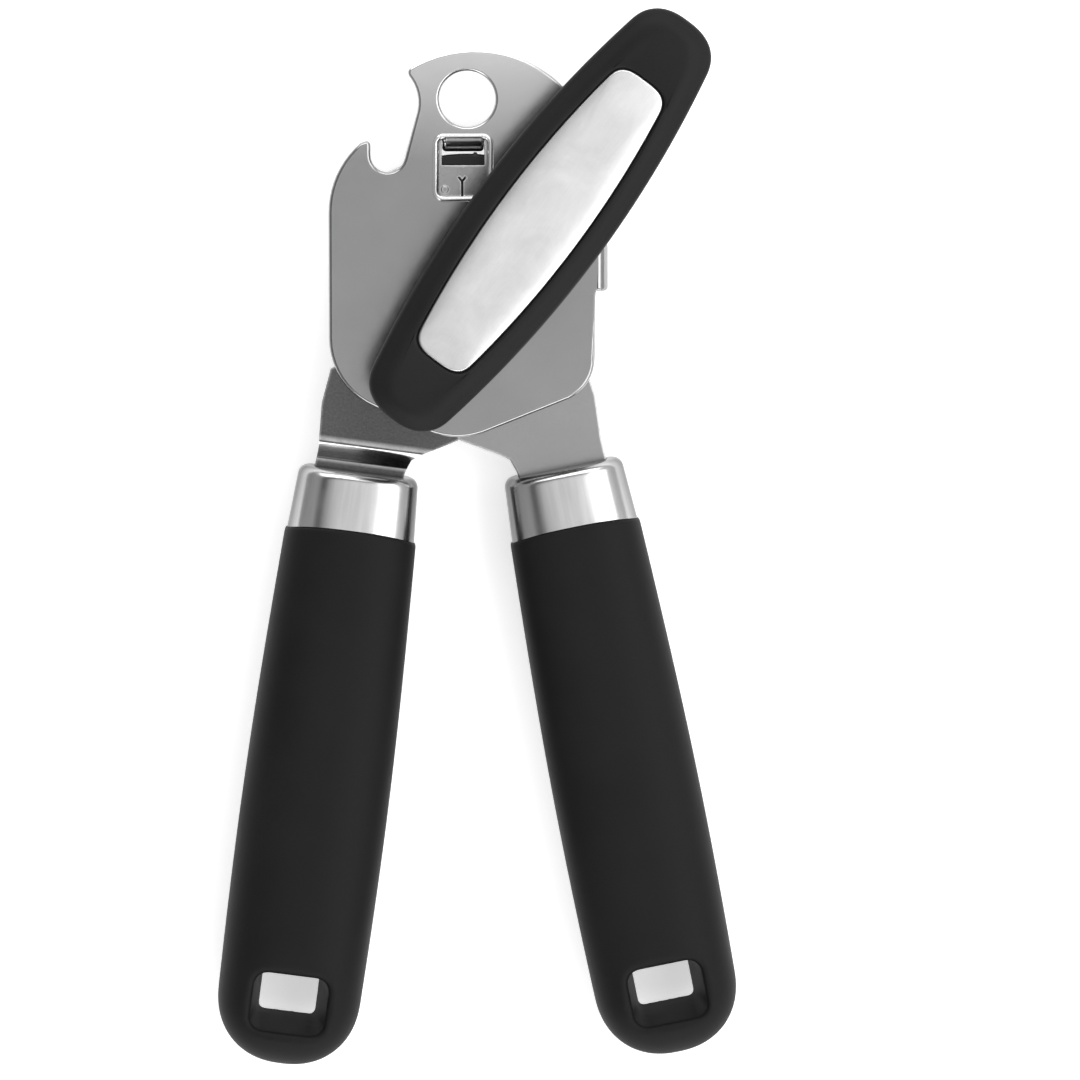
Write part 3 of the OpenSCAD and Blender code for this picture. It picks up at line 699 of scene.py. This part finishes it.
def make_knob():
    place = knob_frame()
    lip, neck_in = 0.35, 1
    rings = [lens(KNOB_SHAPE, inset, -KNOB_T + height) for inset, height in knob_profile()]
    rings += [lens(INLAY_SHAPE, -INLAY_GAP - lip * (1 - math.sin(a)), -lip * (1 - math.cos(a)))
              for a in quarter(3)]
    rings.append(lens(INLAY_SHAPE, -INLAY_GAP, -INLAY_T))
    made = lofted("knob_grip", rings, place)
    low = (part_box("knob_body")[0].z - place.translation.z) / MM
    neck = [circle(NECK_R, z) for z in (low, -KNOB_T + neck_in)]
    combine(made, lofted("neck", neck, place), "UNION")
    core_top = (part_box("knob_core")[1].z - place.translation.z) / MM
    bore = [circle(CORE_R, z) for z in (low - neck_in, core_top)]
    combine(made, lofted("bore", bore, place), "DIFFERENCE")
    smooth(made, 35)
    place_piece(made, KNOB, "knob_body", MATERIALS["knob_plastic"])


def make_inlay():
    """The inlay has rounded edges, and a crown that rises over its flat bed."""
    place = knob_frame()
    edge, crown, crown_steps = 0.45, 0.4, 16
    outer = [lens(INLAY_SHAPE, edge * (1 - math.cos(a)), -crown - edge * (1 - math.sin(a)))
             for a in quarter(6)]
    rings = [lens(INLAY_SHAPE, 0.0, -INLAY_T)] + outer
    for i in range(1, crown_steps):
        share = 1 - (i / crown_steps) ** 1.6
        rings.append([(x * share, y * share, -crown * share ** 5) for x, y, _ in outer[-1]])
    made = lofted("satin_inlay", rings, place)
    smooth(made, 40)
    place_piece(made, KNOB, "knob_inlay", MATERIALS["satin_inlay"])


# ---- Rolled lip of the window ----

# Middle of the window, its width and height, and the radius of its corners
WINDOW_AT = (-0.8, -13.6)
WINDOW_SIZE = (10.1, 11.6)
WINDOW_CORNER = 1.2


def make_window_lip():
    """A round bead pressed up along the window's edge."""
    plate_top, lip_r, lip_out, lip_sunk, lip_sides = 1.6, 0.62, 0.45, 0.3, 24
    half_x, half_y = (size / 2 - WINDOW_CORNER for size in WINDOW_SIZE)
    rings = []
    for cx, cy, out_x, out_y in rounded_corners(half_x, half_y, 12):
        x = WINDOW_AT[0] + cx + (WINDOW_CORNER + lip_out) * out_x
        y = WINDOW_AT[1] + cy + (WINDOW_CORNER + lip_out) * out_y
        ring = []
        for j in range(lip_sides):
            a = 2 * math.pi * j / lip_sides
            reach = lip_r * math.cos(a)
            ring.append((x + reach * out_x, y + reach * out_y, plate_top - lip_sunk + lip_r * math.sin(a)))
        rings.append(ring)
    made = lofted("window_lip", rings, Matrix.Identity(4), closed=True)
    smooth(made)
    # The lip's material is the plate's steel painted much lighter, a painted highlight.
    made.data.materials.append(MATERIALS["highlit_lip_steel"])
    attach(made, LEFT)


# ---- Parts that keep their own shape ----


def smoothing_group():
    """Joins coincident points and shades smooth, ahead of the edge rounding."""
    group = bpy.data.node_groups.new("weld_and_smooth", "GeometryNodeTree")
    group.interface.new_socket("Geometry", in_out="INPUT", socket_type="NodeSocketGeometry")
    group.interface.new_socket("Geometry", in_out="OUTPUT", socket_type="NodeSocketGeometry")
    first = group.nodes.new("NodeGroupInput")
    weld = group.nodes.new("GeometryNodeMergeByDistance")
    weld.inputs["Distance"].default_value = MM / 1000
    shade = group.nodes.new("GeometryNodeSetShadeSmooth")
    last = group.nodes.new("NodeGroupOutput")
    group.links.new(first.outputs[0], weld.inputs["Geometry"])
    group.links.new(weld.outputs["Geometry"], shade.inputs["Geometry"])
    group.links.new(shade.outputs["Geometry"], last.inputs[0])
    return group


def dress(node, material, width, segments):
    """Gives a part its material, and rounds its sharp edges by width millimetres."""
    flat_angle, sharp_angle = 1.5, 38
    part = NODES[node]
    part.data.materials.clear()
    part.data.materials.append(MATERIALS[material])
    for face in part.data.polygons:
        face.material_index = 0
    part.modifiers.new("weld", "NODES").node_group = SMOOTHING
    flat = part.modifiers.new("flat", "DECIMATE")
    flat.decimate_type, flat.angle_limit = "DISSOLVE", math.radians(flat_angle)
    bevel = part.modifiers.new("edges", "BEVEL")
    bevel.width, bevel.segments = width * MM, segments
    bevel.limit_method, bevel.angle_limit = "ANGLE", math.radians(sharp_angle)
    bevel.miter_outer = "MITER_ARC"
    bevel.use_clamp_overlap = False
    part.modifiers.new("shading", "WEIGHTED_NORMAL").keep_sharp = False


# Middle of the pocket behind the window, where painted shade darkens the steel, the step in the left arm
# along its handle, and the height of the handles' middle plane
SHADED_POCKET = (-0.0008, -0.0132, -0.002)
BEND = (0.0015, 0.0060)
HANDLE_Z = handle_frame("left").translation.z
MATERIALS = {
    "floor": floor_paper("studio_paper"),
    # The plate and the left arm are painted lighter up the head, a painted reflection; the steel in the
    # pocket behind the window is painted darker, a painted shade.
    "plate_steel": stamped_steel("plate_steel", 0.32, 0.36, 0.16, 0.21, 0.012, (0.5, -0.012, 0.017),
                                 0.0003),
    "dark_steel": stamped_steel("dark_steel", 0.10, 0.135, 0.18, 0.28, 0.18, (0.26, -0.03, -0.02), -0.01,
                                handle_frame("left")),
    "arm_steel": stamped_steel("arm_steel", 0.345, 0.375, 0.2, 0.26, 0.02, (0.0, 0.0, 1.0), 0.001),
    # The window lip is the plate's steel, painted much lighter as a highlight.
    "highlit_lip_steel": stamped_steel("highlit_lip_steel", 0.86, 0.92, 0.2, 0.26, 0.012),
    "hardware_steel": turned_metal("hardware_steel", (0.62, 0.62, 0.63), 0.2, 0.36),
    "tool_steel": turned_metal("tool_steel", (0.5, 0.5, 0.52), 0.22, 0.4),
    "brass": turned_metal("brass", (0.78, 0.58, 0.28), 0.22, 0.38),
    "chrome_left": chrome("polished_steel_left", turn_of(handle_frame("left"))),
    "chrome_right": chrome("polished_steel_right", turn_of(handle_frame("right"))),
    "satin_inlay": satin_inlay("satin_inlay", turn_of(knob_frame())),
    "knob_plastic": soft_plastic("knob_plastic", 0.010, 0.013, 0.45, 0.55, 2200, 0.16),
    "core_plastic": soft_plastic("core_plastic", 0.06, 0.08, 0.5, 0.6, 1500, 0.4),
    "soft_grip": soft_plastic("soft_grip", 0.006, 0.009, 0.55, 0.65, 2800, 0.16),
}
SMOOTHING = smoothing_group()

make_camera()
make_world()
make_floor()
for light in LIGHTS:
    area_light(*light)
SCENE.view_settings.view_transform = "Standard"

dress("front_plate", "plate_steel", 0.75, 6)
dress("drive_arm", "dark_steel", 0.1, 3)
dress("cutter_arm", "arm_steel", 0.3, 4)
for name in ("pivot_rivet", "pivot_back_washer", "drive_shaft", "feed_washer", "feed_nut", "cutter_bush",
             "cutter_stud", "cutter_washer", "knob_core", "knob_pin", "tang_pins_left", "tang_pins_right"):
    dress(name, "hardware_steel", 0.12, 3)
for name in ("pivot_washer", "drive_bush", "thrust_washer"):
    dress(name, "brass", 0.06, 2)
dress("feed_wheel", "tool_steel", 0.12, 3)
dress("cutting_disc", "tool_steel", 0.05, 2)
for side in ("left", "right"):
    dress("grip_core_" + side, "core_plastic", 0.1, 2)

make_grip("left", LEFT)
make_grip("right", RIGHT)
make_ferrule("left", LEFT)
make_ferrule("right", RIGHT)
make_knob()
make_inlay()
make_window_lip()
